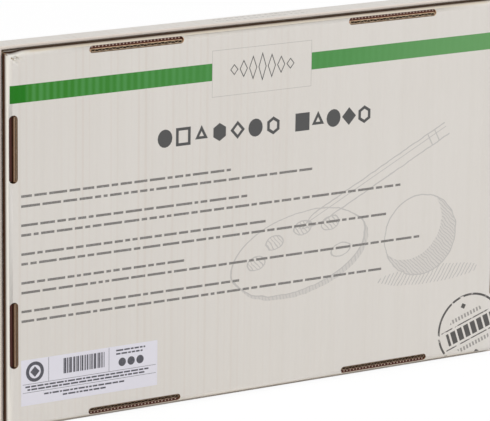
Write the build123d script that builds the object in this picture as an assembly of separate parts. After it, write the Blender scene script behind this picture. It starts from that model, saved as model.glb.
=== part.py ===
from build123d import *
import math
import os

# A set of paint tubes in a flat telescoping box of fine-flute corrugated board.
# The box stands on its long edge: +X runs along the long side, +Z is up, and the tray's base panel
# faces -Y, so that depth into the box grows along +Y. All sizes are in millimetres.

# Board, for the tray and the lid
board = 1.4
fold_radius = 2.2
corner_radius = 1.2

# Tubes. A tube is a round shell squeezed flat at its foot, with a shoulder and a neck at its head.
# Its round is drawn with flat sides, to keep a full set light.
tubes_per_row = 12
tube_sides = 20
tube_radius = 6.0
tube_body_length = 61.0
crimp_height = 4.5
crimp_thickness = 1.0
foil_thickness = 0.5
shoulder_height = 2.0
shoulder_step = 0.8
neck_radius = 3.4
neck_height = 6.0

# Screw caps
cap_sides = 8
cap_wall = 1.7
cap_taper = 2.0
cap_top_thickness = 2.2
cap_bore_clearance = 0.1
cap_bore_end_gap = 0.4
cap_seat_gap = 0.05

# Insert, drawn down from one thin plastic sheet
sheet = 0.45
pocket_clearance = 0.3
plateau_drop = 0.3
mouth_bevel = 0.1
mouth_clearance = 0.1
crimp_gap = 1.05
insert_side_margin = 1.4
row_foot_margin = 1.9
row_head_margin = 1.85
insert_draft = 3.0
insert_clearance = 0.3
insert_seat_gap = 0.1

# Tray, rolled up from one blank
head_room = 0.65
roll_radius = 1.3
long_ply_gap = 0.8
flap_gap = 0.1
flap_length = 24.0
flap_bend_radius = 1.1
corner_seam = 0.15
foot_gap = 0.1

# Slots in the base, and the tabs of the inner walls that stand in them
slot_reach = 0.6
slot_back_gap = 0.3
tab_end_gap = 0.5
tab_recess = 0.3
tab_corner_radius = 0.6
long_slot_length = 45.6
long_slot_offset = 64.2
short_slot_length = 30.0
short_slot_offset = 41.5

# Lid
lid_wall_height = 11.8
lid_clearance = 0.5
rim_gap = 0.2

# Label stuck on the base panel, and how far its edges stand in from the tray's
sticker_long = 66.4
sticker_short = 20.9
sticker_thickness = 0.1
sticker_side_margin = 5.9
sticker_foot_margin = 9.65

# Sizes that follow from those above
tube_axis_depth = board + insert_seat_gap + sheet + pocket_clearance + tube_radius
tray_depth = tube_axis_depth + tube_radius + head_room
box_depth = tray_depth + rim_gap + board

crimp_width = math.pi * tube_radius
tube_pitch = crimp_width + crimp_gap
cap_bore_radius = neck_radius + cap_bore_clearance
cap_bore_depth = neck_height + cap_bore_end_gap
cap_height = cap_bore_depth + cap_top_thickness
tube_height = crimp_height + tube_body_length + shoulder_height + cap_seat_gap + cap_height
row_length = row_foot_margin + tube_height + row_head_margin

insert_long = tubes_per_row * tube_pitch + 2 * insert_side_margin
insert_short = 2 * row_length
long_wall = 2 * board + long_ply_gap
flap_room = board + 2 * flap_gap
short_wall = 2 * board + flap_room
tray_long = insert_long + 2 * (insert_clearance + short_wall)
tray_short = insert_short + 2 * (insert_clearance + long_wall)
lid_long = tray_long + 2 * (lid_clearance + board)
lid_short = tray_short + 2 * (lid_clearance + board)

# Pieces are drawn about the middle of the base panel, with the panel's outer face at y = 0.
# This moves them so that the whole is centred in X and Y and stands on z = 0.
TO_STAND = Pos(0, sticker_thickness - (box_depth + sticker_thickness) / 2, lid_short / 2)

# Each wall is drawn in its own plane: X runs in from the tray's outer face, Y is the depth.
LONG_SIDE = Plane(origin=(0, 0, tray_short / 2), x_dir=(0, 0, -1), z_dir=(1, 0, 0))
SHORT_SIDE = Plane(origin=(tray_long / 2, 0, 0), x_dir=(-1, 0, 0), z_dir=(0, 0, -1))
HALF_TURN = Rot(Y=180)


def open_box(long, depth, short):
    """Thin-walled box of board, folded up round its base and open at y = depth."""
    outside = Pos(0, depth / 2, 0) * Box(long, depth, short)
    outside = fillet(outside.edges().filter_by(Axis.Y), corner_radius)
    outside = fillet(outside.faces().sort_by(Axis.Y)[0].edges(), fold_radius)
    inside = Pos(0, board + depth / 2, 0) * Box(long - 2 * board, depth, short - 2 * board)
    inside = fillet(inside.faces().sort_by(Axis.Y)[0].edges(), fold_radius - board)
    return outside - inside


def outline_face(points, rounded):
    """Face inside an outline, with a radius on the corners that are named."""
    face = make_face(Polyline(*points, close=True))
    for x, y, radius in rounded:
        corner = face.vertices().sort_by_distance((x, y, 0))[0]
        face = fillet(corner, radius)
    return face


def rolled_ply(side, wall, length):
    """Top strip and inner wall of one side, rolled over from the top of the outer ply."""
    low = tray_depth - board
    foot = board + foot_gap
    inner = wall - board
    points = [(0, low), (0, tray_depth), (wall, tray_depth), (wall, foot), (inner, foot), (inner, low)]
    crown = [(0, tray_depth, roll_radius), (wall, tray_depth, roll_radius)]
    return extrude(side * outline_face(points, crown), amount=length / 2, both=True)


def slot(side, wall, offset_along, length):
    """Round-ended slot through the base, from over the outer ply to just past the inner wall."""
    start = board - slot_reach
    width = wall + slot_back_gap - start
    middle = side.from_local_coords((start + width / 2, 0, offset_along))
    mouth = Plane(origin=middle, x_dir=side.z_dir, z_dir=(0, 1, 0))
    return extrude(mouth * SlotOverall(length, width), amount=fold_radius)


def tab(side, wall, offset_along, length):
    """Locking tab: the edge of the inner wall, carried on into a slot."""
    width = length - 2 * tab_end_gap
    root = board + foot_gap
    points = [(-width / 2, root), (-width / 2, tab_recess), (width / 2, tab_recess), (width / 2, root)]
    tips = [(-width / 2, tab_recess, tab_corner_radius), (width / 2, tab_recess, tab_corner_radius)]
    back = side.from_local_coords((wall, 0, offset_along))
    face = Plane(origin=back, x_dir=side.z_dir, z_dir=-side.x_dir) * outline_face(points, tips)
    return extrude(face, amount=board)


def dust_flap(end):
    """Flap at one end of the upper long wall, folded round the corner behind the short wall."""
    x = end * (tray_long / 2 - board - flap_gap - board / 2)
    bottom = max(board + foot_gap, fold_radius)
    height = tray_depth - board - foot_gap - bottom
    plan = Plane(origin=(x, bottom, tray_short / 2 - flap_length / 2), x_dir=(1, 0, 0), z_dir=(0, 1, 0))
    flap = extrude(plan * Rectangle(board, flap_length), amount=height)
    corner = flap.edges().filter_by(Axis.Y).sort_by_distance((x + end * board, bottom, tray_short / 2))[0]
    return fillet(corner, min(flap_bend_radius, 0.9 * board))


def corner_slit(end):
    """Gap between the end of the upper long wall and the short wall beside it."""
    x = end * (tray_long / 2 - board - flap_gap / 2)
    height = tray_depth - fold_radius
    return Pos(x, fold_radius + height / 2, tray_short / 2) * Box(flap_gap, height, 2 * board)


def make_tray():
    """Tray folded from one blank, with rolled double walls whose tabs lock in slots of the base."""
    tray = open_box(tray_long, tray_depth - board, tray_short)
    long_roll = rolled_ply(LONG_SIDE, long_wall, tray_long - 2 * (board + flap_room))
    short_roll = rolled_ply(SHORT_SIDE, short_wall, tray_short - 2 * (long_wall + corner_seam))
    slots = []
    tabs = []
    for direction in (-1, 1):
        slots += [slot(LONG_SIDE, long_wall, direction * long_slot_offset, long_slot_length)]
        slots += [slot(SHORT_SIDE, short_wall, direction * short_slot_offset, short_slot_length)]
        tabs += [tab(LONG_SIDE, long_wall, direction * long_slot_offset, long_slot_length)]
        tabs += [tab(SHORT_SIDE, short_wall, direction * short_slot_offset, short_slot_length)]
    for turn in (Rot(), HALF_TURN):
        tray -= [turn * corner_slit(end) for end in (-1, 1)]
        tray -= [turn * cut for cut in slots]
        tray += [turn * dust_flap(end) for end in (-1, 1)]
        tray += [turn * long_roll, turn * short_roll]
        tray += [turn * piece for piece in tabs]
    return tray


def make_lid():
    """Shallow one-ply outer box that closes over the tray's open side."""
    lid = open_box(lid_long, lid_wall_height, lid_short)
    return Pos(0, box_depth, 0) * Rot(X=180) * lid


def flat_sided(low, high):
    """Solid between two rings of corners. Where neighbours in the low ring meet, a side is a triangle."""
    faces = [Face(Wire.make_polygon(high, close=True))]
    floor = []
    for index, corner in enumerate(low):
        after = (index + 1) % len(low)
        side = [corner, low[after], high[after], high[index]]
        if corner == low[after]:
            side = side[1:]
        else:
            floor += [corner]
        faces += [Face(Wire.make_polygon(side, close=True))]
    faces += [Face(Wire.make_polygon(floor, close=True))]
    return Solid(Shell(faces))


def pocket_section(half_width, depth, bevel, top, z):
    """Corners of a pocket's section: a bevelled trough, open towards the lid."""
    floor = tube_axis_depth - depth
    brim = tube_axis_depth + top
    points = [
        (-half_width, brim),
        (-half_width, floor + bevel),
        (bevel - half_width, floor),
        (half_width - bevel, floor),
        (half_width, floor + bevel),
        (half_width, brim),
    ]
    return [Vector(x, y, z) for x, y in points]


def pocket(grow, top):
    """Trough that follows the underside of one tube, from its crimp to the end of its cap."""
    octagon = 2 - math.sqrt(2)
    reach = tube_radius + pocket_clearance + grow
    mouth_depth = crimp_thickness / 2 + plateau_drop + grow
    mouth = crimp_width / 2 + mouth_clearance + grow
    shoulder = crimp_height + tube_body_length
    end = tube_height + pocket_clearance + grow
    foot = pocket_section(mouth, mouth_depth, mouth_bevel + octagon * grow, top, crimp_height)
    head, tip = [pocket_section(reach, reach, octagon * reach, top, z) for z in (shoulder, end)]
    return flat_sided(foot, head) + flat_sided(head, tip)


def make_insert():
    """Drawn plastic insert: a plateau on a skirt, with one pocket for each tube."""
    plateau = tube_axis_depth - crimp_thickness / 2 - plateau_drop
    seat = board + insert_seat_gap
    ground = Plane(origin=(0, seat, 0), x_dir=(1, 0, 0), z_dir=(0, 1, 0))
    lean = sheet / math.cos(math.radians(insert_draft))
    outside = extrude(ground * Rectangle(insert_long, insert_short), plateau - seat, taper=insert_draft)
    hollow = Rectangle(insert_long - 2 * lean, insert_short - 2 * lean)
    insert = outside - extrude(ground * hollow, plateau - sheet - seat, taper=insert_draft)
    outer = pocket(sheet, plateau - tube_axis_depth)
    inner = pocket(0, 0)
    places = [Pos(x, 0, z) for x, z in tube_places()]
    insert += [place * outer for place in places]
    return insert - [place * inner for place in places]


def tube_places():
    """Where each tube's foot stands on the panel, row by row from the bottom."""
    columns = [(index - (tubes_per_row - 1) / 2) * tube_pitch for index in range(tubes_per_row)]
    return [(x, row * row_length + row_foot_margin) for row in (-1, 0) for x in columns]


def ring(radius, z):
    """Corners of a many-sided ring that has flats square to X and to Y."""
    turns = [(index + 0.5) * 2 * math.pi / tube_sides for index in range(tube_sides)]
    return [Vector(radius * math.cos(turn), radius * math.sin(turn), z) for turn in turns]


def squeezed_body():
    """Round shell squeezed to a line: each quarter of its head fans in to one corner of its foot."""
    side = crimp_width / 2
    thin = foil_thickness / 2
    head = ring(tube_radius, tube_body_length)
    foot = [Vector(math.copysign(side, corner.X), math.copysign(thin, corner.Y), 0) for corner in head]
    return flat_sided(foot, head)


def make_tube():
    """Crimped tube standing on its foot, with its middle plane on y = 0."""
    ledge = neck_radius + shoulder_step
    top = shoulder_height + neck_height
    shoulder = flat_sided(ring(tube_radius, 0), ring(ledge, shoulder_height))
    neck = flat_sided(ring(neck_radius, shoulder_height), ring(neck_radius, top))
    crimp = Pos(0, 0, crimp_height / 2) * Box(crimp_width, crimp_thickness, crimp_height)
    body = Pos(0, 0, crimp_height) * squeezed_body()
    return body + crimp + Pos(0, 0, crimp_height + tube_body_length) * (shoulder + neck)


def make_cap():
    """Eight-sided screw cap on the neck of a tube that stands on its foot."""
    corner = (cap_bore_radius + cap_wall) / math.cos(math.pi / cap_sides)
    grip = extrude(RegularPolygon(corner, cap_sides), amount=cap_height, taper=cap_taper)
    bore = extrude(RegularPolygon(cap_bore_radius, tube_sides, major_radius=False), amount=cap_bore_depth)
    return Pos(0, 0, crimp_height + tube_body_length + shoulder_height + cap_seat_gap) * (grip - bore)


def make_sticker():
    """Paper label on the outer face of the base panel."""
    x = sticker_side_margin + (sticker_long - tray_long) / 2
    z = sticker_foot_margin + (sticker_short - tray_short) / 2
    return Pos(x, -sticker_thickness / 2, z) * Box(sticker_long, sticker_thickness, sticker_short)


def write(name, piece):
    """Moves a finished piece to where it stands and writes its file."""
    piece = TO_STAND * piece
    piece.label = name
    export_step(piece, f"parts/{name}.step")


os.makedirs("parts", exist_ok=True)
write("tray", make_tray())
write("lid", make_lid())
write("insert", make_insert())
write("sticker", make_sticker())
tube = make_tube()
cap = make_cap()
for number, (x, z) in enumerate(tube_places()):
    row = ("lower", "upper")[number // tubes_per_row]
    place = Pos(x, tube_axis_depth, z)
    write(f"tube_{row}_{number % tubes_per_row + 1:02d}", place * tube)
    write(f"cap_{row}_{number % tubes_per_row + 1:02d}", place * cap)
print(f"tray {tray_long:.2f} x {tray_short:.2f} x {tray_depth:.2f} mm")
print(f"box {lid_long:.2f} x {lid_short:.2f} x {box_depth:.2f} mm, tube pitch {tube_pitch:.2f} mm")
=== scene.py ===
# %% [markdown]
# # A boxed set of paint tubes
# A flat box of white-coated corrugated board stands on its long edge and shows its base. Its lid is
# slipped over from behind, and 24 tubes lie inside in a drawn plastic insert. This first step loads
# the finished solids, which stay where they are: all that follows dresses them. Sizes are in
# metres. Only FRONT, PANEL, HALF_HEIGHT and a few like them are in millimetres, as patterns need
# them.

# %% Load the solids
import math
import random
import bpy
from mathutils import Matrix, Vector, noise


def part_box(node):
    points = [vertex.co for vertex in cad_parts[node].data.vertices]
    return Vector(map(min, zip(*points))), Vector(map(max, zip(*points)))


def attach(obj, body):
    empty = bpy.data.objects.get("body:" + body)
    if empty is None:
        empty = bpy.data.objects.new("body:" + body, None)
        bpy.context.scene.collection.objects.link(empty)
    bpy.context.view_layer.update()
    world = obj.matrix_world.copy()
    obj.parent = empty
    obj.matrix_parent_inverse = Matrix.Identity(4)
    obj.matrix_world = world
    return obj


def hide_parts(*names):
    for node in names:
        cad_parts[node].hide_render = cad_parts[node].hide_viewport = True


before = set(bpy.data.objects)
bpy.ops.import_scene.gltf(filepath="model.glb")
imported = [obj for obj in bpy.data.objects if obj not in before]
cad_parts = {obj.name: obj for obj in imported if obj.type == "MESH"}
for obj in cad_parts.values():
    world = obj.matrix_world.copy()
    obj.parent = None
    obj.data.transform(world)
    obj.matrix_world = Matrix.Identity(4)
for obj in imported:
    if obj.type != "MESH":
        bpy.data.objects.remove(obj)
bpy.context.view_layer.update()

MM = 0.001
tray_low, tray_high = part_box("tray")
lid_low, lid_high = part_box("lid")
front = tray_low.y
panel_z = (tray_low.z + tray_high.z) / 2
FRONT = front / MM
PANEL = panel_z / MM
HALF_HEIGHT = (tray_high.z - panel_z) / MM
print("nodes", len(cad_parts), "tray", [round(size / MM, 2) for size in tray_high - tray_low])

# %% [markdown]
# ## The camera
# The photograph was taken from far off with a long lens: the box's edges hardly converge. The
# camera stands a metre and a half away, to the left and a little above, and a 250 mm lens gives
# that flat look. A camera looks along its own -Z axis, so its rotation is built from its right, up
# and back directions.

# %% Camera
looking = Vector((0.4678, 0.8407, -0.2728)).normalized()
rightward = Vector((0.8758, -0.4825, 0.015))
rightward = (rightward - looking * rightward.dot(looking)).normalized()
upward = rightward.cross(looking)
camera = bpy.data.objects.new("camera", bpy.data.cameras.new("camera"))
bpy.context.scene.collection.objects.link(camera)
camera.matrix_world = Matrix((rightward, upward, -looking)).transposed().to_4x4()
camera.location = (-0.7146, -1.2745, 0.4974)
camera.data.lens = 249.8
camera.data.clip_start = 0.1
bpy.context.scene.camera = camera
print("camera looks along", [round(part, 3) for part in looking])

# %% [markdown]
# ## Shader maths in plain expressions
# A pattern such as a printed band is a sum about where a point lies. Wired by hand it takes dozens
# of Math nodes, so this small class wraps one output of a node, and + - * / on it add the nodes.
# `then` adds any other Math node, and `add_node` any other kind: its settings come first, and then
# the values or wires of its sockets.

# %% Wrapped sockets
class Wire:
    def __init__(self, tree, socket):
        self.tree = tree
        self.socket = socket

    def then(self, operation, other=0.0):
        return maths(self.tree, operation, self, other)

    def __add__(self, other): return self.then("ADD", other)
    def __sub__(self, other): return self.then("SUBTRACT", other)
    def __rsub__(self, other): return maths(self.tree, "SUBTRACT", other, self)
    def __mul__(self, other): return self.then("MULTIPLY", other)
    def __truediv__(self, other): return self.then("DIVIDE", other)
    def __gt__(self, other): return self.then("GREATER_THAN", other)
    def __lt__(self, other): return self.then("LESS_THAN", other)
    def __abs__(self): return self.then("ABSOLUTE")


def join(tree, entry, value):
    """Links a wire to an input, or sets the input's own value."""
    if isinstance(value, Wire):
        tree.links.new(value.socket, entry)
    else:
        entry.default_value = value


def maths(tree, operation, first, second):
    """One Math node with its two inputs."""
    made = tree.nodes.new("ShaderNodeMath")
    made.operation = operation
    join(tree, made.inputs[0], first)
    join(tree, made.inputs[1], second)
    return Wire(tree, made.outputs[0])


def add_node(tree, kind, settings=None, result=0, **inputs):
    """Adds a node; inputs are named in_0, in_1 by place, or by the socket's name."""
    made = tree.nodes.new("ShaderNode" + kind)
    for name, value in (settings or {}).items():
        setattr(made, name, value)
    for name, value in inputs.items():
        by_place = name.startswith("in_")
        entry = made.inputs[int(name[3:]) if by_place else name.replace("_", " ")]
        join(tree, entry, value)
    return Wire(tree, made.outputs[result])


def split(vector):
    """The X, Y and Z of a vector, as three wires."""
    x_part = add_node(vector.tree, "SeparateXYZ", in_0=vector)
    return [Wire(vector.tree, part) for part in x_part.socket.node.outputs]


# %% [markdown]
# ## One start for every finish
# Each finish is a Principled shader fed by Object coordinates, so that a pattern stays on its piece
# when the piece moves. The starter gives back the place of a point in millimetres, which keeps the
# numbers of a pattern the same as those on a drawing.

# %% Finish starter
def screen_colour(red, green, blue):
    """A colour as read off a screen, from 0 to 255, turned to the linear values of shaders."""
    parts = [part / 255 for part in (red, green, blue)]
    linear = [p / 12.92 if p <= 0.04045 else ((p + 0.055) / 1.055) ** 2.4 for p in parts]
    return (*linear, 1.0)


class Finish:
    def __init__(self, name, roughness=0.6, **constants):
        self.material = bpy.data.materials.new(name)
        self.material.use_nodes = True
        self.tree = self.material.node_tree
        self.shader = self.tree.nodes["Principled BSDF"]
        self.shader.inputs["Roughness"].default_value = roughness
        for socket, value in constants.items():
            self.shader.inputs[socket.replace("_", " ")].default_value = value
        where = add_node(self.tree, "TexCoord", result=3)
        scale = {"operation": "SCALE"}
        self.place = add_node(self.tree, "VectorMath", scale, in_0=where, Scale=1 / MM)
        self.x, self.y, self.z = split(self.place)

    def noise(self, scale, detail=2.0, stretch=(1, 1, 1)):
        """Cloudy noise; the scale is in lumps per millimetre, and stretch multiplies each axis."""
        multiply = {"operation": "MULTIPLY"}
        spread = add_node(self.tree, "VectorMath", multiply, in_0=self.place, in_1=stretch)
        return add_node(self.tree, "TexNoise", Vector=spread, Scale=scale, Detail=detail)

    def mix(self, share, under, over):
        """One colour over another. Three numbers are a screen's, and four are linear already."""
        ready = [colour if isinstance(colour, Wire) or len(colour) == 4 else screen_colour(*colour)
                 for colour in (under, over)]
        settings = {"data_type": "RGBA"}
        return add_node(self.tree, "Mix", settings, 2, in_0=share, in_6=ready[0], in_7=ready[1])

    def smooth(self, value, low, high, start=0.0, end=1.0):
        """A soft step: the value's way from low to high becomes start to end."""
        settings = {"interpolation_type": "SMOOTHSTEP"}
        return add_node(self.tree, "MapRange", settings,
                        in_0=value, in_1=low, in_2=high, in_3=start, in_4=end)

    def finish(self, colour, height, depth, roughness=None):
        """Joins a colour, a relief that is so many millimetres deep, and a roughness."""
        join(self.tree, self.shader.inputs["Base Color"], colour)
        bump = add_node(self.tree, "Bump", Strength=1.0, Distance=depth * MM, Height=height)
        join(self.tree, self.shader.inputs["Normal"], bump)
        if roughness is not None:
            join(self.tree, self.shader.inputs["Roughness"], roughness)
        print("finish", self.material.name, "has", len(self.tree.nodes), "nodes")
        return self.material


# %% [markdown]
# ## Floor and light
# A studio table: one wide pale sheet. The camera, and anything that mirrors it, sees the floor
# nearly white, because its shader adds white light for those rays alone; what falls on the box is
# the plain reflected light. The sky is even and soft, and two big lamps give the board a gentle
# direction.

# %% Floor
def backdrop_rays(tree):
    """1 for rays from the camera, also by a mirror or glass, and 0 for the light that lights."""
    path = tree.nodes.new("ShaderNodeLightPath")
    rays = [Wire(tree, path.outputs[name])
            for name in ("Is Camera Ray", "Is Glossy Ray", "Is Transmission Ray")]
    return rays[0].then("MAXIMUM", rays[1].then("MAXIMUM", rays[2]))


bpy.ops.mesh.primitive_plane_add(size=8.0, location=(0, 0, 0))
floor = bpy.context.object
floor.name = "floor"
table = bpy.data.materials.new("table_white")
table.use_nodes = True
tree = table.node_tree
paint = tree.nodes["Principled BSDF"]
paint.inputs["Base Color"].default_value = (0.8, 0.8, 0.8, 1)
paint.inputs["Roughness"].default_value = 0.9
glow = tree.nodes.new("ShaderNodeEmission")
glow.inputs["Strength"].default_value = 1.03
blend = tree.nodes.new("ShaderNodeMixShader")
join(tree, blend.inputs[0], backdrop_rays(tree) * 0.92)
tree.links.new(paint.outputs[0], blend.inputs[1])
tree.links.new(glow.outputs[0], blend.inputs[2])
tree.links.new(blend.outputs[0], tree.nodes["Material Output"].inputs[0])
floor.data.materials.append(table)

# %% Sky and lamps
sky = bpy.data.worlds.new("studio")
bpy.context.scene.world = sky
sky.use_nodes = True
background = sky.node_tree.nodes["Background"]
background.inputs["Color"].default_value = (1, 1, 1, 1)
join(sky.node_tree, background.inputs["Strength"], backdrop_rays(sky.node_tree) * 0.45 + 0.55)


def lamp(name, place, target, width, height, power, colour):
    """A soft rectangular lamp that faces a target."""
    light = bpy.data.lights.new(name, "AREA")
    light.shape = "RECTANGLE"
    light.size, light.size_y = width, height
    light.energy = power
    light.color = colour
    holder = bpy.data.objects.new(name, light)
    bpy.context.scene.collection.objects.link(holder)
    holder.location = place
    holder.rotation_euler = (Vector(target) - Vector(place)).to_track_quat("-Z", "Y").to_euler()


lamp("key", (1.15, -1.05, 1.1), (0.05, 0, 0.12), 1.0, 1.0, 12.5, (1.0, 0.99, 0.98))
lamp("edge", (-1.6, -0.14, 0.5), (-0.12, 0, 0.1), 0.5, 0.9, 11, (1.0, 0.96, 0.88))
bpy.context.scene.view_settings.view_transform = "Standard"

# %% [markdown]
# ## Working on one piece at a time
# Blender's operators act on whatever is selected. These helpers select one piece, or just some of
# its faces, by a test on their middle and normal, as clicking would do by hand. The rest are the
# few operations that come back often: apply, slice with Bisect, round with a Bevel modifier, and
# join.

# %% Selecting
def only(piece):
    """Selects one piece and nothing else."""
    if bpy.context.object and bpy.context.object.mode != "OBJECT":
        bpy.ops.object.mode_set(mode="OBJECT")
    bpy.ops.object.select_all(action="DESELECT")
    piece.select_set(True)
    bpy.context.view_layer.objects.active = piece


def pick(piece, test):
    """Goes into edit mode with only those faces selected whose middle and normal pass the test."""
    only(piece)
    bpy.ops.object.mode_set(mode="EDIT")
    bpy.ops.mesh.select_mode(type="FACE")
    bpy.ops.mesh.select_all(action="DESELECT")
    bpy.ops.object.mode_set(mode="OBJECT")
    for face in piece.data.polygons:
        face.select = bool(test(face.center, face.normal))
    bpy.ops.object.mode_set(mode="EDIT")


def settle(piece):
    """Writes a piece's place, turn and scale into its mesh, so that it sits at the origin."""
    only(piece)
    bpy.ops.object.transform_apply(location=True, rotation=True, scale=True)
    return piece


def apply_all(piece):
    """Applies a piece's modifiers in turn."""
    only(piece)
    for modifier in list(piece.modifiers):
        bpy.ops.object.modifier_apply(modifier=modifier.name)


def slice_through(piece, place, direction, **options):
    """Cuts all of a piece along a plane."""
    only(piece)
    bpy.ops.object.mode_set(mode="EDIT")
    bpy.ops.mesh.select_all(action="SELECT")
    bpy.ops.mesh.bisect(plane_co=place, plane_no=direction, **options)
    bpy.ops.object.mode_set(mode="OBJECT")


def round_edges(piece, width, segments, sharper_than=30):
    """Rounds the edges at which the surface turns by more than an angle."""
    edge = piece.modifiers.new("edge", "BEVEL")
    edge.width = width * MM
    edge.segments = segments
    edge.limit_method = "ANGLE"
    edge.angle_limit = math.radians(sharper_than)
    apply_all(piece)


def join_all(pieces):
    """Makes one piece of several, in the first of them."""
    only(pieces[0])
    for piece in pieces[1:]:
        piece.select_set(True)
    bpy.ops.object.join()
    return pieces[0]


def merged_copy(node, name):
    """A copy of a solid's mesh with its loose triangles merged, and flat areas made one face."""
    piece = bpy.data.objects.new(name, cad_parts[node].data.copy())
    bpy.context.scene.collection.objects.link(piece)
    piece.data.materials.clear()
    only(piece)
    bpy.ops.mesh.customdata_custom_splitnormals_clear()
    bpy.ops.object.mode_set(mode="EDIT")
    bpy.ops.mesh.select_all(action="SELECT")
    bpy.ops.mesh.remove_doubles(threshold=0.001 * MM)
    bpy.ops.mesh.dissolve_limited(angle_limit=math.radians(0.5))
    bpy.ops.object.mode_set(mode="OBJECT")
    return piece


# %% [markdown]
# ## Brown paper
# Where the white coating ends, the board is brown: smooth and fibrous on its bare liner, paler and
# rougher on a cut edge, and painted dark as shade in the hollow flutes and the gaps of the slots. One
# function makes all three. Deeper in a slot the cut edges turn redder and are then painted darker as
# shade; in the short slots they are browner, and in the lower slots they are painted darker as shade,
# since the light falls from above.

# %% Bare liner and cut edges
def brown_paper(name, light, dark, grain, in_slots=False):
    """Unbleached paper: fine fibres along the sheet, and a cloudy tone."""
    f = Finish(name, roughness=0.85)
    fibre = f.noise(grain, 4, (1, 1, 0.3))
    colour = f.mix(f.smooth(fibre, 0.3, 0.7), dark, light)
    colour = f.mix(f.noise(0.05, 2) * 0.25, colour, dark)
    if in_slots:
        mouth = FRONT + 0.5
        colour = f.mix(f.smooth(f.y, mouth, mouth + 0.25), colour, (206, 136, 90))
        # Deeper in a slot the cut edges are painted darker, as shade.
        colour = f.mix(f.smooth(f.y, mouth + 0.45, mouth + 1.0), colour, (88, 44, 34))
        in_short_slots = f.smooth(abs(f.x), 118.0, 119.0, 0.0, 0.75)
        colour = f.mix(in_short_slots, colour, (92, 62, 40))
        # The lower slots are painted darker, as shade, since the light falls from above.
        colour = f.mix(f.smooth(f.z, 8.0, 10.0, 0.55, 0.0), colour, (80, 46, 34))
    return f.finish(colour, fibre, 0.03)


liner_brown = brown_paper("liner_brown", (205, 178, 142), (176, 146, 108), 2.0)
cut_brown = brown_paper("cut_brown", (242, 224, 198), (200, 165, 126), 5.0, in_slots=True)
# The hollow flutes and the gaps of the slots are painted dark, as shade.
flute_shade = brown_paper("flute_shade", (92, 62, 42), (60, 38, 26), 5.0)

# %% [markdown]
# ## Flutes in the cut edges
# Corrugated board is two liners with a wavy paper between them. Where a cut crosses the waves, the
# edge shows a row of little tents. Drawing the wave would take a very fine mesh, so the gaps are
# cut out instead: one three-sided prism and its upside-down twin are repeated by an Array modifier,
# and a Boolean takes them out of the board. What is left between them reads as liner, wave and
# liner.

# %% Prisms for the gaps
PITCH = 3.35
board = 1.4 * MM
liner = 0.18 * MM
wave_wall = 0.45 * MM
pitch = PITCH * MM


def flute_gaps(middle, length, opens, deep):
    """Rows of three-sided prisms along X that open towards Y or Z, and go so deep into the edge."""
    spin = (math.radians(90), 0, 0) if opens == "Y" else (0, 0, 0)
    wide, tall = (pitch - wave_wall) / math.sqrt(3), board - 2 * liner
    count = max(1, int(length / pitch) + 1)
    pair = []
    for number, flip in enumerate((1, -1)):
        bpy.ops.mesh.primitive_cylinder_add(vertices=3, radius=1.0, depth=1.0, rotation=spin)
        prism = bpy.context.object
        prism.scale = (wide, flip * tall / 1.5, deep)
        settle(prism)
        heights = [corner[2 if opens == "Y" else 1] for corner in prism.bound_box]
        shift = -(min(heights) + max(heights)) / 2
        slide = (number * 0.5 - (count - 0.5) / 2) * pitch
        move = (slide, 0, shift) if opens == "Y" else (slide, shift, 0)
        prism.location = Vector(middle) + Vector(move)
        settle(prism)
        repeat = prism.modifiers.new("repeat", "ARRAY")
        repeat.count = count
        repeat.use_relative_offset = False
        repeat.use_constant_offset = True
        repeat.constant_offset_displace = (pitch, 0, 0)
        apply_all(prism)
        pair.append(prism)
    return join_all(pair)


def trim_length(piece, low, high):
    """Cuts off and closes what lies past two X values, so that gaps end with their edge."""
    for place, away in ((low, -1), (high, 1)):
        slice_through(piece, (place, 0, 0), (away, 0, 0), use_fill=True, clear_outer=True)


def carve(piece, cutters):
    """Takes the cutters out of the piece, and deletes them. The faces they leave get the painted
    shade of the flutes.
    """
    cutter = join_all(cutters)
    only(cutter)
    bpy.ops.object.mode_set(mode="EDIT")
    bpy.ops.mesh.select_all(action="SELECT")
    bpy.ops.mesh.normals_make_consistent(inside=False)
    bpy.ops.object.mode_set(mode="OBJECT")
    before = len(piece.data.polygons)
    cutter.data.materials.clear()
    cutter.data.materials.append(flute_shade)
    cut = piece.modifiers.new("cut", "BOOLEAN")
    cut.operation = "DIFFERENCE"
    cut.solver = "EXACT"
    cut.material_mode = "TRANSFER"
    cut.object = cutter
    apply_all(piece)
    bpy.data.objects.remove(cutter)
    print(piece.name, "had", before, "faces and has", len(piece.data.polygons))


# %% [markdown]
# ## The tray
# The tray's base faces the camera. Eight slots near its edges hold the tabs of the rolled inner
# walls, and each slot shows three layers: the folded outer ply, a dark gap, and the tab's cut end.
# The flutes run up the base, so they open at the cuts along its top and bottom. A slot is written
# down as its middle and its length along an edge, that edge, and the way inward from it.

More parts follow.
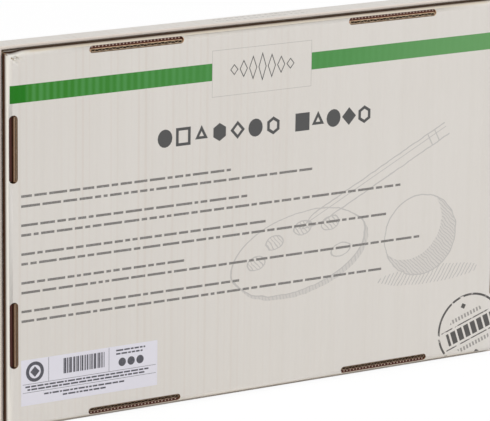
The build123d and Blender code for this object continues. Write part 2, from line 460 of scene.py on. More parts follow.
# %% Tray board
tray = merged_copy("tray", "tray_board")
z_edges = ((tray_high.z, -1), (tray_low.z, 1))
x_edges = ((tray_low.x, 1), (tray_high.x, -1))
long_slots = [(sign * 64.2 * MM, 45.6 * MM, edge, inward)
              for sign in (-1, 1) for edge, inward in z_edges]
short_slots = [(panel_z + sign * 41.5 * MM, 30.0 * MM, edge, inward)
               for sign in (-1, 1) for edge, inward in x_edges]
gaps = []
for x, length, edge, inward in long_slots:
    in_tab = (x, front, edge + inward * 2.9 * MM)
    in_base = (x, front + board / 2, edge + inward * 5.2 * MM)
    in_fold = (x, front + 4.2 * MM, edge + inward * board / 2)
    half = length / 2 - 0.9 * MM
    for middle, opens, deep in ((in_tab, "Y", 9), (in_base, "Z", 3), (in_fold, "Y", 4.4)):
        row = flute_gaps(middle, length, opens, deep * MM)
        trim_length(row, x - half, x + half)
        gaps.append(row)
for z, length, edge, inward in short_slots:
    middle = (edge + inward * 3.85 * MM, front + 1.6 * MM, z)
    long = length - 2 * MM
    bpy.ops.mesh.primitive_cylinder_add(vertices=4, radius=1.0, depth=long, location=middle)
    bpy.context.object.scale = (0.34 * MM, 2.2 * MM, 1)
    gaps.append(settle(bpy.context.object))
carve(tray, gaps)

# %% [markdown]
# ## A knocked corner
# The upper left corner has been knocked. A large flat face can't crease, so that corner of the tray
# is first cut into a fine grid by Bisect. Its points are moved later, when each face has its
# finish.

# %% Grid for the creases
REACH = 13.0
reach = REACH * MM
corner = Vector((tray_low.x, front, tray_high.z))


def in_corner(point, normal):
    return (point.x < corner.x + reach and point.z > corner.z - reach
            and point.y < front + 3 * MM)


def corner_grid(piece, size, test):
    """Cuts the square corner region into a grid of cells about as large as size."""
    low = Vector((corner.x, front, corner.z - reach))
    high = Vector((corner.x + reach, front, corner.z))
    slice_through(piece, high, (1, 0, 0))
    slice_through(piece, low, (0, 0, 1))
    count = int((high.x - low.x) / size)
    for axis in ((1, 0, 0), (0, 0, 1)):
        for step in range(1, count):
            pick(piece, test)
            bpy.ops.mesh.bisect(plane_co=low + (high - low) * (step / count), plane_no=axis)
    bpy.ops.object.mode_set(mode="OBJECT")


corner_grid(tray, 0.8 * MM, in_corner)
print("tray has", len(tray.data.polygons), "faces with the grid")

# %% [markdown]
# ## Which side of the board shows
# The blank is printed on one side. Folded up, that side is the whole outside; rolled over, it is
# also the top of the walls and the face that the inner walls turn to the tubes. The base's inside
# and the backs of the plies are bare brown liner, and every cut is brown too. Each face finds its
# side from how deep it lies under the rounded outside of the box, and from the way it faces.

# %% Sort the faces of the board
PRINTED, LINER, CUT, FLUTE_SHADE = range(4)
fine = 0.05 * MM
fold_radius = 2.2 * MM
near_side = 2.3 * MM


def walls_near(point, low, high):
    """How far a point lies in from the nearest side, along X and along Z."""
    return min(point.x - low.x, high.x - point.x), min(point.z - low.z, high.z - point.z)


def skin_depth(point, low, high, base_y):
    """How deep a point lies under a box's outside, which is rounded between base and walls."""
    wall = min(walls_near(point, low, high))
    base = abs(point.y - base_y)
    over, beside = fold_radius - base, fold_radius - wall
    return fold_radius - math.hypot(over, beside) if min(over, beside) > 0 else min(wall, base)


def outward(point, normal, low, high, base_y, out_y):
    """How far a face turns away from the box's middle, from -1 to 1, towards a side near it."""
    sides = [(point.x - low.x, -normal.x), (high.x - point.x, normal.x),
             (point.z - low.z, -normal.z), (high.z - point.z, normal.z)]
    by_base = normal.y * out_y if abs(point.y - base_y) < near_side else -1
    return max([turn for wall, turn in sides if wall < near_side] + [by_base])


def on_outside(point, normal, low, high, base_y, out_y):
    """True for the skin of a box; at the upright corners it is a little thicker."""
    skin = 0.29 if max(walls_near(point, low, high)) < near_side else 0.07
    return (skin_depth(point, low, high, base_y) < skin * MM
            and outward(point, normal, low, high, base_y, out_y) > 0.4)


def tray_side(point, normal):
    if on_outside(point, normal, tray_low, tray_high, tray_low.y, -1):
        return PRINTED
    if tray_high.y - point.y < 1.31 * MM and normal.y > -0.1:
        return PRINTED
    wall_x, wall_z = walls_near(point, tray_low, tray_high)
    inner_x = abs(wall_x - 4.4 * MM) < fine and normal.x * point.x < 0 and abs(normal.x) > 0.9
    inner_z = (abs(wall_z - 3.6 * MM) < fine and normal.z * (point.z - panel_z) < 0
               and abs(normal.z) > 0.9)
    if (inner_x or inner_z) and point.y > front + 1.5 * MM:
        return PRINTED
    if normal.y > 0.9 and abs(point.y - front - board) < fine:
        return LINER
    return CUT if point.y < front + 5 * MM else LINER


def lid_side(point, normal):
    if on_outside(point, normal, lid_low, lid_high, lid_high.y, 1):
        return PRINTED
    return PRINTED if point.y < lid_low.y + 0.4 * MM and normal.y < -0.3 else LINER


def sort_faces(piece, side_of, printed):
    """Gives each face its finish; a face that a prism has cut has the painted flute shade already."""
    flute = piece.data.materials.find("flute_shade")
    sides = []
    for face in piece.data.polygons:
        in_flute = flute >= 0 and face.material_index == flute
        sides.append(FLUTE_SHADE if in_flute else side_of(face.center, face.normal))
    piece.data.materials.clear()
    for finish in (printed, liner_brown, cut_brown, flute_shade):
        piece.data.materials.append(finish)
    for face, side in zip(piece.data.polygons, sides):
        face.material_index = side
    counts = [sides.count(side) for side in (PRINTED, LINER, CUT, FLUTE_SHADE)]
    print(piece.name, "faces printed, liner, cut, flute:", counts)


# %% [markdown]
# ## Coated board
# The white coating is smooth and slightly shiny. Under it the waves of the board show as fine upright
# stripes, which a Bump node draws from a sine of X, with each flute a little different. Along the
# crests the white is also painted a little darker and warmer, as shade of that relief, strongest at
# the left where the light grazes. The same stripes streak the green band, partly as ink that lies
# thicker between the crests and partly as painted sheen of the relief. The walls at the short ends
# run along the flutes, so their stripes go by depth instead. The masks of the print are comparisons
# of places, and `either` takes the strongest of several.

# %% Masks of the print
GREEN_FOOT, GREEN_TOP = PANEL + 61.6, PANEL + 69.4
FRAME_X, FRAME_Z = -2.4, PANEL + 64.6


def turned(f, x, z, degrees):
    """Places along and across an axis that is turned about a point of the base."""
    along, up = math.cos(math.radians(degrees)), math.sin(math.radians(degrees))
    aside, above = f.x - x, f.z - (PANEL + z)
    return aside * along + above * up, above * along - aside * up


def either(*masks):
    whole = masks[0]
    for mask in masks[1:]:
        whole = whole.then("MAXIMUM", mask)
    return whole


def oval(u, v, wide, tall):
    """How far out a place is, with 1 on the edge of an oval."""
    across, up = u * (1 / wide), v * (1 / tall)
    return (across * across + up * up).then("SQRT")


def rim_line(out, radius, width):
    """A line on the edge of an oval, whose radius turns shares into millimetres."""
    return abs(out - 1) * radius < width


def stripes(value, step, share):
    """Even stripes: 1 in a share of each step."""
    return (value * (1 / step)).then("FRACT") < share


def frame_area(f, half_width, half_height):
    """The rectangle of the outlined panel."""
    return (abs(f.x - FRAME_X) < half_width) * (abs(f.z - FRAME_Z) < half_height)


def sketch(f):
    """Faint pencil drawing: a palette with its wells, a shaded ball, and a pencil across them."""
    line = 0.3
    unsteady = f.noise(0.22, 2) * 2.0 - 1.0
    u, v = turned(f, 18.0, -22.0, 12)
    u, v = u + unsteady, v + unsteady * 0.6
    rim = oval(u, v, 35.0, 18.0)
    wells = [oval(u - x, v - z, 4.6, 3.2)
             for x, z in ((-22.0, 2.0), (-11.0, 8.5), (4.0, 10.5), (18.0, 8.0))]
    hole = oval(u - 21.0, v + 6.0, 5.0, 3.0)
    edge = (rim > 1) * (oval(u - 1.2, v + 2.4, 35.0, 18.0) < 1)
    palette = either(rim_line(rim, 24, line), rim_line(hole, 4, line),
                     *[rim_line(well, 4, line) for well in wells],
                     stripes(u + v * 0.5, 1.9, 0.28) * either(*[well < 1 for well in wells]),
                     edge * 0.5, stripes(u, 1.7, 0.25) * edge)
    u, v = turned(f, 82.0, -22.0, 0)
    u, v = u + unsteady, v + unsteady * 0.6
    rim = oval(u, v, 19.0, 19.0)
    dark_side = (rim < 1) * (oval(u + 7.0, v - 7.0, 18.0, 18.0) > 1)
    ground = (rim > 1) * (oval(u - 5.0, v + 19.5, 27.0, 4.2) < 1)
    ball = either(rim_line(rim, 19, line), dark_side * 0.3, dark_side * stripes(u + v, 1.8, 0.33),
                  ground * stripes(u - v * 0.6, 2.0, 0.3))
    u, v = turned(f, 18.0, -12.0, 27)
    half = f.smooth(u, -4.0, 12.0, -1.2, 3.0)
    rings = [(abs(u - place) < line) * (abs(v) < 3.0) for place in (80, 76)]
    pencil = (u > 0) * (u < 86) * either(abs(abs(v + unsteady * 0.5) - half) < line,
                                         abs(v - 1.0) < 0.2, *rings)
    return either(palette, ball, pencil)


def stamp(f):
    """A worn round stamp: a ring, two rules with plain blocks between them, and small diamonds."""
    u, v = turned(f, 110.7, -71.4, 19)
    ring = rim_line(oval(u, v, 17.0, 17.0), 17, 0.52)
    rules = (abs(abs(v) - 4.6) < 0.28) * (abs(u) < 14.8)
    blocks = (abs(v) < 3.1) * stripes(u + 40.0, 3.7, 0.72) * (abs(u) < 12.8)
    small = (abs(abs(v) - 7.6) < 1.0) * stripes(u + 40.0, 1.7, 0.55)
    small = small * (abs(u) < (14.0 - abs(v) * 0.7))
    diamonds = (abs(u) + abs(abs(v) - 12.4)) < 1.5
    worn = f.smooth(f.noise(0.4, 3), 0.34, 0.46)
    inked = f.smooth(f.noise(0.12, 1), 0.2, 0.4, 0.8, 1.0)
    return either(either(ring, rules) * worn, blocks, diamonds, small * 0.6) * inked * 0.9


# %% [markdown]
# The base's print and the lid's share one board. Towards its folds the base is painted with light: a
# paler highlight at the sides, and a creamy warm bounce light above and below. A brown line on the
# walls, where the lid's rim meets them, is painted shade of the gap.

# %% Board with its print
def base_print(f, white, wave, uneven):
    """All print of the base's outer face, the painted light on its folds, and the painted shade of
    the lid's gap.
    """
    on_base = f.y < (FRONT + 0.3)
    band = (f.z > GREEN_FOOT) * (f.z < GREEN_TOP) * on_base * (f.x > -124.7)
    panel = frame_area(f, 25.0, 10.5)
    outline = panel * (1 - frame_area(f, 24.75, 10.25)) * on_base
    # Streaks along the flutes: partly ink that lies thicker between the crests, partly painted sheen
    # of the relief.
    ink_and_sheen_streak = f.smooth(uneven * 0.6 + wave * 0.16, 0.1, 0.55)
    green = f.mix(ink_and_sheen_streak, (50, 131, 34), (76, 149, 74))
    # Across the band the green is painted lighter towards the right as sheen, and darker at its left
    # end as shade.
    green = f.mix(f.smooth(f.x, -118.0, 20.0) * 0.8, green, (80, 149, 80))
    green = f.mix(f.smooth(f.x, 0.0, 120.0) * 0.85, green, (108, 163, 103))
    green = f.mix(f.smooth(f.x, -118.0, -115.5, 0.95, 0.0), green, (20, 120, 4))
    colour = f.mix(band * (1 - panel), white, green)
    colour = f.mix(outline * 0.35, colour, (120, 118, 115))
    colour = f.mix(sketch(f) * on_base * 0.5, colour, (170, 168, 168))
    colour = f.mix(stamp(f) * (f.y < (FRONT + 0.8)), colour, (48, 46, 46))
    # Painted light at the folds: a highlight towards the sides, and warm bounce light above and
    # below.
    fold_light = f.smooth(f.y, FRONT + 0.12, FRONT + 1.0)
    at_side = f.smooth(abs(f.x), 112.0, 120.0)
    colour = f.mix(fold_light * 0.6, colour, f.mix(at_side, (222, 206, 176), (250, 248, 240)))
    # Painted shade of the gap under the lid's rim: a brown line on the tray's walls.
    deep = f.y - FRONT
    gap_shade = f.smooth(deep, 0.4, 3.4) * f.smooth(deep, 4.9, 5.6, 1.0, 0.0)
    on_wall = either(abs(f.z - PANEL) > (HALF_HEIGHT - 1.3), abs(f.x) > (tray_high.x / MM - 0.9))
    return f.mix(gap_shade * on_wall, colour, (58, 32, 12))


def lid_print(f, white, fibre):
    """The painted warm bounce light on the lid's rim, and two rows of fine dashes on its upper wall.
    """
    rim = lid_low.y / MM
    # The warm tint at the rim is painted bounce light.
    white = f.mix(f.smooth(f.y, rim + 0.1, rim + 1.6, 1.0, 0.0) * 0.28, white, (240, 216, 196))
    rows = (abs(abs(f.y - 2.3) - 1.7) < 0.42) * (abs(f.x - 2.0) < 23.0)
    on_top = f.z > (lid_high.z / MM - 0.4)
    dashes = stripes(f.x + fibre * 2.5 + f.y * 0.7, 2.9, 0.6)
    return f.mix(rows * on_top * dashes * 0.45, white, (112, 112, 112))


def coated_board(name, on_tray):
    """White coated liner with the print of the tray or of the lid."""
    f = Finish(name, roughness=0.42, Specular_IOR_Level=0.25)
    facing = split(add_node(f.tree, "TexCoord", result=1))
    end_wall = abs(facing[0]) > 0.7
    across = f.x * (1 - end_wall) + f.y * end_wall
    wave = (across * (2 * math.pi / PITCH) + f.noise(0.02, 1) * 1.2).then("SINE")
    uneven = f.noise(0.16, 2, (1, 0.02, 0.004))
    fibre = f.noise(1.3, 3)
    height = wave * (uneven * 0.9 + 0.1) + uneven * 1.6 + fibre * 0.25
    white = f.mix(f.noise(0.012, 3), (226, 221, 215), (233, 229, 224))
    white = f.mix(f.smooth(uneven, 0.35, 0.75, 0, 0.2), white, (220, 214, 206))
    patchy = f.smooth(f.noise(0.3, 1, (1, 0.02, 0.01)), 0.35, 0.65)
    # Painted shade of the flute relief: the crests a little darker and warmer, strongest at the left
    # where the light grazes.
    crests = f.smooth(wave * (uneven + 0.2), 0.1, 0.7) * f.smooth(f.x, -60.0, 60.0, 0.2, 0.03)
    white = f.mix(crests * patchy, white, (214, 198, 186))
    colour = base_print(f, white, wave, uneven) if on_tray else lid_print(f, white, fibre)
    return f.finish(colour, height, 0.045, fibre * 0.1 + 0.36)


board_print = coated_board("board_print", True)
board_plain = coated_board("board_plain", False)

# %% [markdown]
# ## The tray's finish, and its creases
# The knocked corner of the tray is pushed in and down by a few smooth bumps, and small creases run
# out from it. The faces are sorted by where they lie, so that comes first and the points move
# after.

# %% Creases
sort_faces(tray, tray_side, board_print)


def bump_at(u, w, middle_u, middle_w, spread):
    return math.exp(-((u - middle_u) ** 2 + (w - middle_w) ** 2) / spread ** 2)


for point in tray.data.vertices:
    u, w = (point.co.x - corner.x) / MM, (corner.z - point.co.z) / MM
    deep = (point.co.y - front) / MM
    if u > REACH or w > REACH or deep > 4:
        continue
    skin = max(0.0, 1 - deep / 1.25)
    crease = math.sin((u * 0.9 - w * 0.7) * 2.3 + noise.noise(Vector((u, w, 0)) * 0.5) * 3)
    push = 0.8 * bump_at(u, w, 3.0, 1.0, 3.0) + 1.5 * crease * bump_at(u, w, 4.0, 1.8, 2.4)
    drop = 2.0 * bump_at(u, w, 2.5, 0.0, 3.6) * max(0.0, 1 - deep / 4) * max(0.0, 1 - w / 6)
    point.co.y += max(0.0, push) * skin * MM
    point.co.z -= drop * MM
    point.co.x += 0.7 * bump_at(u, w, 0.0, 1.0, 3.0) * skin * max(0.0, 1 - u / 6) * MM
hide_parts("tray")
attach(tray, "tray")

# %% [markdown]
# ## The wave in the slots
# Inside each slot, next to the fold, the wavy paper of the outer ply shows as light dashes on reddish
# brown; the reddish brown between them is painted shade of the hollow flutes. A narrow bar with that
# finish lies a little way down in every slot.

# %% Wave bars
f = Finish("wave_edge", roughness=0.85)
crest = f.smooth((f.x * 3.75 + f.noise(0.3, 1) * 2).then("SINE"), 0.3, 0.8)
off_row = abs(abs(f.z - PANEL) - (HALF_HEIGHT - 1.4))
crest = crest * f.smooth(off_row, 0.15, 0.4, 1.0, 0.0)
in_long_slots = f.smooth(abs(f.x), 118.0, 119.0, 1.0, 0.1)
# The dark reddish ground is painted shade between the paper's crests.
paper = f.mix(crest * in_long_slots, (78, 36, 28), (226, 206, 190))
wave_edge = f.finish(paper, crest, 0.1)


def bar_at(x, z, half_x, half_z):
    """A narrow bar that lies a little way down in a slot."""
    bpy.ops.mesh.primitive_cube_add(size=2, location=(x, front + 1.3 * MM, z))
    bpy.context.object.scale = (half_x, 0.25 * MM, half_z)
    return settle(bpy.context.object)


bars = [bar_at(x, edge + inward * 1.45 * MM, length / 2 - 0.8 * MM, 0.6 * MM)
        for x, length, edge, inward in long_slots]
bars += [bar_at(edge + inward * 1.6 * MM, z, 0.75 * MM, length / 2 - 0.8 * MM)
         for z, length, edge, inward in short_slots]
join_all(bars)
bars[0].name = "wave_bars"
bars[0].data.materials.append(wave_edge)
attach(bars[0], "tray")
print(bars[0].name, "has", len(bars[0].data.polygons), "faces")

# %% [markdown]
# ## The lid
# The lid is the same board. Its rim is pressed round, so that it shows as a pale line: the rim's face
# is inset, and its outer edge is moved back a little. The warm tint along the rim is painted bounce
# light from the brown board.

# %% Lid board
lid = merged_copy("lid", "lid_board")
hair = 0.01 * MM
pick(lid, lambda point, normal: normal.y < -0.9 and point.y < lid_low.y + hair)
bpy.ops.mesh.inset(thickness=0.35 * MM, depth=0)
bpy.ops.object.mode_set(mode="OBJECT")
for point in lid.data.vertices:
    if abs(point.co.y - lid_low.y) < hair and not point.select:
        point.co.y += 0.22 * MM
sort_faces(lid, lid_side, board_plain)
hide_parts("lid")
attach(lid, "lid")

# %% [markdown]
# ## Printed marks
# The print that is too fine for a shader mask is a very thin inlay that lies on the board: flat
# shapes, drawn with primitives and given a few hundredths of a millimetre of thickness by Solidify.
# A row of plain marks stands across the middle, slim diamonds fill the outlined panel, and short
# bars of uneven length stand in pairs of rows down the base. Blocks that repeat are added to one
# mesh, so that each kind is one piece. A mark's place is in millimetres from the middle of the
# base.

# %% Ink
INK = 0.03


def ink(name, colour, worn=0.0):
    """Printing ink: one colour that lets a little of the paper through where it is worn."""
    f = Finish(name, roughness=0.5)
    thin = f.noise(1.1, 3)
    solid = screen_colour(*colour)
    faded = tuple(part + (0.6 - part) * worn for part in solid[:3]) + (1.0,)
    return f.finish(f.mix(f.smooth(thin, 0.45, 0.75), solid, faded), thin, 0.01)


def start_marks(name):
    """An empty mesh in edit mode, to which flat marks are then added."""
    bpy.ops.object.select_all(action="DESELECT")
    bpy.ops.mesh.primitive_plane_add(size=1)
    piece = bpy.context.object
    piece.name = name
    bpy.ops.object.mode_set(mode="EDIT")
    bpy.ops.mesh.delete(type="VERT")
    return piece


def add_mark(x, z, width, height, sides=4, turn=45.0, line=0.0):
    """Adds a flat mark by its middle and size; with a line's width, only its outline."""
    bpy.ops.mesh.select_all(action="DESELECT")
    middle = Vector((x, z, 0)) * MM
    bpy.ops.mesh.primitive_circle_add(vertices=sides, radius=MM, fill_type="NGON", location=middle)
    bpy.ops.transform.rotate(value=math.radians(turn), orient_axis="Z", center_override=middle)
    grow = math.sqrt(0.5) if sides == 4 and turn == 45.0 else 0.5
    bpy.ops.transform.resize(value=(width * grow, height * grow, 1), center_override=middle)
    if line:
        bpy.ops.mesh.inset(thickness=line * MM, depth=0)
        bpy.ops.mesh.delete(type="FACE")


def lay_marks(piece, y, body, finish):
    """Turns the flat marks upright, lays them on a face, and gives them their thickness."""
    bpy.ops.object.mode_set(mode="OBJECT")
    only(piece)
    piece.rotation_euler = (math.radians(90), 0, 0)
    piece.location = (0, y, panel_z)
    settle(piece)
    sheet = piece.modifiers.new("thickness", "SOLIDIFY")
    sheet.thickness = INK * MM
    sheet.offset = 1
    apply_all(piece)
    piece.data.materials.append(finish)
    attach(piece, body)
    nearest = min(point.co.y for point in piece.data.vertices) / MM
    print(piece.name, "has", len(piece.data.polygons), "faces, from y", round(nearest, 3))


# %% Row of plain marks
ROUND = 16
marks = start_marks("shape_marks")
shapes = [(ROUND, 0, 0), (4, 45, 1.3), (3, 0, 1.2), (6, 0, 0), (4, 0, 1.2), (ROUND, 0, 0)]
shapes += [(6, 0, 1.3), (4, 45, 0), (3, 0, 1.2), (ROUND, 0, 0), (4, 0, 0), (6, 0, 1.3)]
for number, (sides, turn, line) in enumerate(shapes):
    x = -50.3 + number * 9.0 if number < 7 else 18.5 + (number - 7) * 8.0
    add_mark(x, 38.2, 7.2, 8.2, sides, turn, line)
for number, tall in enumerate((5, 8, 11, 13, 11, 8, 5)):
    add_mark(-16.4 + number * 4.7, 65.6, 4.0, tall, 4, 0, 0.35)
lay_marks(marks, front, "tray", ink("ink_dark", (76, 76, 76)))

# %% Rows of short bars
lengths = random.Random(11)


def add_row(start, end, z, tall, short, long, gap):
    """One row of bars of uneven lengths, from start to end."""
    x = start
    while x < end - short:
        width = min(lengths.uniform(short, long), end - x)
        add_mark(x + width / 2, z, width, tall)
        x += width + gap


bars = start_marks("row_bars")
right_ends = [(-16, 24), (-9, 70.5), (3.5, 66), (-40, 81.4), (-12.4, 61.5)]
for pair, ends in enumerate(right_ends):
    for row, end in enumerate(ends):
        add_row(-119.3, end, 20.4 - 12.9 * pair - 4.4 * row, 1.1, 1.8, 9, 1.2)
lay_marks(bars, front, "tray", ink("ink_grey", (124, 121, 118), 0.3))

# %% [markdown]
# ## The label
# A small paper label is stuck on the lower left. The paper is the finished solid, with a cooler
# white than the board's; its print is a few rules, a block of arbitrary bars, a ring round a diamond,
# three discs and rows of fine bars. The paper's face is drawn back by the thickness of its ink.

# %% Label paper and its print
label_low, label_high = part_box("sticker")
f = Finish("label_paper", roughness=0.55)
tooth = f.noise(1.8, 3)
paper = f.mix(f.noise(0.05, 2), (230, 228, 239), (236, 234, 243))
label = merged_copy("sticker", "label_sheet")
for point in label.data.vertices:
    point.co.y = max(point.co.y, label_low.y + INK * MM)
label.data.materials.append(f.finish(paper, tooth, 0.012))
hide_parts("sticker")
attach(label, "tray")

label_print = start_marks("label_marks")
left, right = label_low.x / MM, label_high.x / MM
top = label_high.z / MM - PANEL
hairline = 0.16
for down in (11.2, 15.0):
    add_mark((left + right) / 2, top - down, right - left - 1.5, hairline)
for across in (13.2, 42.5):
    add_mark(left + across, top - 5.6, hairline, 10.8)
add_mark(left + 6.6, top - 5.8, 8.6, 9.2, 32, 0, 1.5)
add_mark(left + 6.6, top - 5.8, 4.4, 4.8, 4, 0)
x = left + 20.6
while x < left + 40.4:
    width = lengths.choice((0.3, 0.4, 0.6, 0.8))
    add_mark(x, top - 5.2, width, 7.0)
    x += width + lengths.choice((0.25, 0.3, 0.4, 0.5))
beside_discs = [(2.0, 46, 61), (3.6, 46, 59)]
under_rules = [(12.4, 2, 62), (13.8, 3, 60), (16.6, 11, 50), (18.2, 20, 42)]
for down, start, end in beside_discs + under_rules:
    add_row(left + start, left + end, top - down, 0.72, 0.8, 3.6, 0.5)
for number in range(3):
    add_mark(left + 49 + number * 4.4, top - 7.6, 3.6, 3.9, 24, 0)
label_ink = ink("ink_label", (80, 79, 88), 0.1)
lay_marks(label_print, label_low.y + INK * MM, "tray", label_ink)

# %% [markdown]
# ## The insert
# The tubes lie in a tray of thin plastic that is drawn down over a mould while hot. Hot sheet can't
# follow a sharp corner, so every edge of such a part is round. The finished solid has the right shape
# with sharp edges: a merged copy of it gets them rounded by a Bevel modifier. The plastic is pale,
# smooth and a little shiny; towards the pockets' floors it is painted a little darker, as shade.

# %% Drawn sheet
insert = merged_copy("insert", "insert_sheet")
round_edges(insert, 0.16, 2, sharper_than=14)
bpy.ops.object.shade_smooth_by_angle(angle=math.radians(35))
f = Finish("drawn_plastic", roughness=0.3)
# Painted shade: darker towards the pockets' floors.
colour = f.mix(f.smooth(f.y, -7.0, -1.0), (206, 206, 204), (232, 232, 229))
colour = f.mix(f.noise(0.06, 3) * 0.3, colour, (220, 221, 220))
peel = f.noise(0.9, 3)
insert.data.materials.append(f.finish(colour, peel, 0.04, peel * 0.15 + 0.22))
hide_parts("insert")
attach(insert, "insert")
print("insert_sheet has", len(insert.data.polygons), "faces")

# %% [markdown]
# ## One tube
# A paint tube starts as a round can of soft metal. It is filled from behind, squeezed flat and
# folded over. One tube is made at the world's origin, foot down: an open cylinder is cut into rings
# by Bisect, and each ring is squeezed with Resize, wider as it gets flatter, because the metal
# doesn't stretch. The shoulder and the screw neck are the top edge, extruded and resized step by
# step.

# %% Squeezed body
tube_low, tube_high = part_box("tube_lower_01")
cap_low, cap_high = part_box("cap_lower_01")
radius = 6.0 * MM
crimp_top = 4.5 * MM
shoulder_foot = 65.5 * MM
up = (0, 0, 1)


def ring_at(piece, z):
    """Goes into edit mode with the points at one height selected."""
    only(piece)
    bpy.ops.object.mode_set(mode="EDIT")
    bpy.ops.mesh.select_mode(type="VERT")
    bpy.ops.mesh.select_all(action="DESELECT")
    bpy.ops.object.mode_set(mode="OBJECT")
    for point in piece.data.vertices:
        point.select = abs(point.co.z - z) < 0.01 * MM
    bpy.ops.object.mode_set(mode="EDIT")


def resize_ring(piece, z, wide, thick):
    """Makes the ring at one height wider or thinner."""
    ring_at(piece, z)
    bpy.ops.transform.resize(value=(wide, thick, 1), center_override=(0, 0, z))
    bpy.ops.object.mode_set(mode="OBJECT")


length = shoulder_foot - crimp_top
bpy.ops.object.select_all(action="DESELECT")
bpy.ops.mesh.primitive_cylinder_add(vertices=40, radius=radius, depth=length,
                                    end_fill_type="NOTHING",
                                    location=(0, 0, crimp_top + length / 2))
tube = bpy.context.object
tube.name = "tube_body"
settle(tube)
shares = [0.0, 0.04, 0.1, 0.2, 0.35, 0.5, 0.7, 0.85]
for share in shares[1:]:
    slice_through(tube, (0, 0, crimp_top + share * length), up)
for share in shares:
    full = min(1.0, share * 1.04)
    wide = ((1 - full) * math.pi / 2 + full) * (0.995 if share else 0.99)
    resize_ring(tube, crimp_top + share * length, wide, max(full, 0.05))

# %% Shoulder and screw neck
ridge = [(0.35, 0.955), (0.35, 1.047)]
steps = [(0.35, 0.99), (0.9, 0.80), (0.65, 0.86), (0.1, 0.87), (0.4, 1.0)]
steps += ridge + [(0.5, 1.0)] + ridge + [(0.5, 1.0)] + ridge
steps += [(0.9, 1.0), (0.4, 0.95), (0.0, 0.7), (-2.0, 1.0)]
ring_at(tube, shoulder_foot)
z, size = shoulder_foot, radius
for rise, shrink in steps:
    z += rise * MM
    size *= shrink
    bpy.ops.mesh.extrude_region_move(TRANSFORM_OT_translate={"value": (0, 0, rise * MM)})
    bpy.ops.transform.resize(value=(shrink, shrink, 1), center_override=(0, 0, z))
bpy.ops.mesh.edge_face_add()
bpy.ops.object.mode_set(mode="OBJECT")
print("neck ends at", round(z / MM, 2), "mm with radius", round(size / MM, 2))

# %% [markdown]
# The foot is pressed flat and folded over twice. Four bisected lines cross a flat block, and the
# two inner ones of them are pinched, which shows the folds. Then its edges are rounded.

# %% Folded foot
bpy.ops.object.select_all(action="DESELECT")
bpy.ops.mesh.primitive_cube_add(size=1, location=(0, 0, crimp_top / 2))
foot = bpy.context.object
foot.scale = (18.75 * MM, 0.96 * MM, crimp_top)
settle(foot)
folds = {1.3: 0.97, 1.5: 0.82, 2.8: 0.82, 3.0: 0.97}
for height in folds:
    slice_through(foot, (0, 0, height * MM), up)
for height, pinch in folds.items():
    resize_ring(foot, height * MM, 1, pinch)
round_edges(foot, 0.12, 2)
join_all([tube, foot])
bpy.ops.object.shade_smooth_by_angle(angle=math.radians(32))
print("tube model has", len(tube.data.polygons), "faces")

# %% [markdown]
# ## One cap
# The cap is an eight-sided prism, a little narrower at its top, with its corners rounded by a
# bevel. Its top is inset and pressed in, and from below the mouth is inset and pushed up for the
# screw.

# %% Screw cap
cap_foot = cap_low.z - tube_low.z
cap_height = cap_high.z - cap_low.z
cap_top = cap_foot + cap_height
bpy.ops.object.select_all(action="DESELECT")
bpy.ops.mesh.primitive_cylinder_add(vertices=8, radius=5.62 * MM, depth=cap_height,
                                    end_fill_type="NGON",
                                    location=(0, 0, cap_foot + cap_height / 2))
cap = bpy.context.object
cap.name = "cap_body"
settle(cap)
resize_ring(cap, cap_top, 0.945, 0.945)
round_edges(cap, 0.5, 3)
pick(cap, lambda point, normal: normal.z > 0.99)
bpy.ops.mesh.inset(thickness=0.9 * MM, depth=0)
bpy.ops.mesh.inset(thickness=0.15 * MM, depth=-0.3 * MM)
pick(cap, lambda point, normal: normal.z < -0.99)
bpy.ops.mesh.inset(thickness=1.15 * MM, depth=0)
bpy.ops.mesh.extrude_region_move(TRANSFORM_OT_translate={"value": (0, 0, 6.4 * MM)})
bpy.ops.object.mode_set(mode="OBJECT")
bpy.ops.object.shade_smooth_by_angle(angle=math.radians(30))
print("cap model has", len(cap.data.polygons), "faces")

# %% [markdown]
# ## Finishes for the tubes
# The set has twelve bright and twelve pastel colours. One finish serves all the tubes: it works out
# from X which tube a point is on, looks the colour up in a ramp of twelve steps, and takes the
# bright ramp below and the pastel ramp above. Foot, shoulder and neck stay bare metal.

# %% Tube metal and cap plastic
ROW_SIZE = 12
tube_pitch = (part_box("tube_lower_02")[0].x - tube_low.x) / MM
first_edge = tube_low.x / MM + (tube_high.x - tube_low.x) / MM / 2 - tube_pitch / 2
upper_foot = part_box("tube_upper_01")[0].z
bright = [(240, 238, 230), (247, 214, 30), (240, 130, 30), (214, 40, 38)]
bright += [(190, 30, 90), (110, 50, 130), (36, 56, 150), (20, 130, 196)]
bright += [(20, 140, 90), (120, 180, 50), (150, 92, 44), (34, 34, 36)]
pastel = [tuple(int(part + (240 - part) * 0.58) for part in colour) for colour in bright]


def colour_steps(f, share, colours):
    """A ramp with one even step for each colour."""
    ramp = add_node(f.tree, "ValToRGB", in_0=share)
    stops = ramp.socket.node.color_ramp
    stops.interpolation = "CONSTANT"
    for index, colour in enumerate(colours):
        stop = stops.elements[0] if index == 0 else stops.elements.new(index / len(colours))
        stop.color = screen_colour(*colour)
    stops.elements.remove(stops.elements[-1])
    return ramp


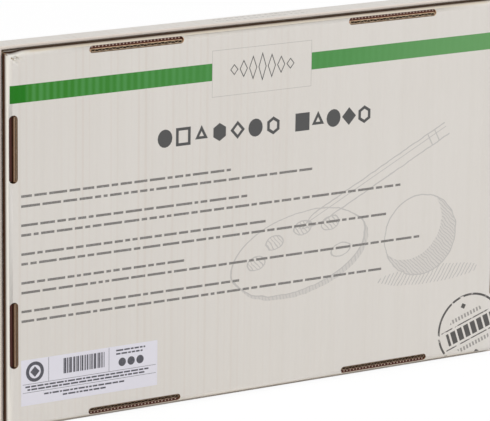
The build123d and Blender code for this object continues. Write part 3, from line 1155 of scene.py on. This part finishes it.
f = Finish("tube_foil", roughness=0.3)
share = (f.x - first_edge) / (tube_pitch * ROW_SIZE)
upper = f.z > (upper_foot / MM - 2)
paint = f.mix(upper, colour_steps(f, share, bright), colour_steps(f, share, pastel))
above = f.z - tube_low.z / MM - upper * ((upper_foot - tube_low.z) / MM)
coated = (above > 5.6) * (above < 64.6)
stripe = (above > 47.0) * (above < 48.0)
white_band = (above > 20.0) * (above < 44.0)
scuff = f.noise(0.5, 4)
enamel = f.mix(white_band * 0.9, paint, (238, 237, 232))
enamel = f.mix(stripe, enamel, (245, 244, 240))
bare = f.mix(scuff, (196, 197, 199), (222, 223, 225))
join(f.tree, f.shader.inputs["Metallic"], 1 - coated)
tube_skin = f.mix(coated, bare, enamel)
tube_finish = f.finish(tube_skin, f.noise(0.25, 3), 0.12, scuff * 0.2 + 0.24)

f = Finish("cap_moulded", roughness=0.4)
grain = f.noise(2.2, 3)
cap_skin = f.mix(f.noise(0.3, 2), (238, 237, 233), (228, 227, 223))
cap_finish = f.finish(cap_skin, grain, 0.02, grain * 0.12 + 0.34)

# %% [markdown]
# ## The full set
# The models are copied to all 24 places, each copy with its own mesh. The solids say where each
# tube stands, so the copy is moved there and its place is written into its mesh.

# %% Copies
def copy_to(model, name, body, node, place, finish):
    """Puts a copy of a model in the place of a solid."""
    piece = bpy.data.objects.new(name, model.data.copy())
    bpy.context.scene.collection.objects.link(piece)
    piece.location = place
    settle(piece)
    piece.data.materials.clear()
    piece.data.materials.append(finish)
    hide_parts(node)
    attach(piece, body)


for row in ("lower", "upper"):
    for number in range(1, ROW_SIZE + 1):
        tag = f"{row}_{number:02d}"
        low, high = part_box(f"tube_{tag}")
        place = ((low.x + high.x) / 2, (low.y + high.y) / 2, low.z)
        copy_to(tube, f"tube_body_{tag}", f"tube_{tag}", f"tube_{tag}", place,
                tube_finish)
        copy_to(cap, f"cap_body_{tag}", f"cap_{tag}", f"cap_{tag}", place,
                cap_finish)
for model in (tube, cap):
    bpy.data.objects.remove(model)
print("tubes and caps copied, pitch", round(tube_pitch, 3), "mm")
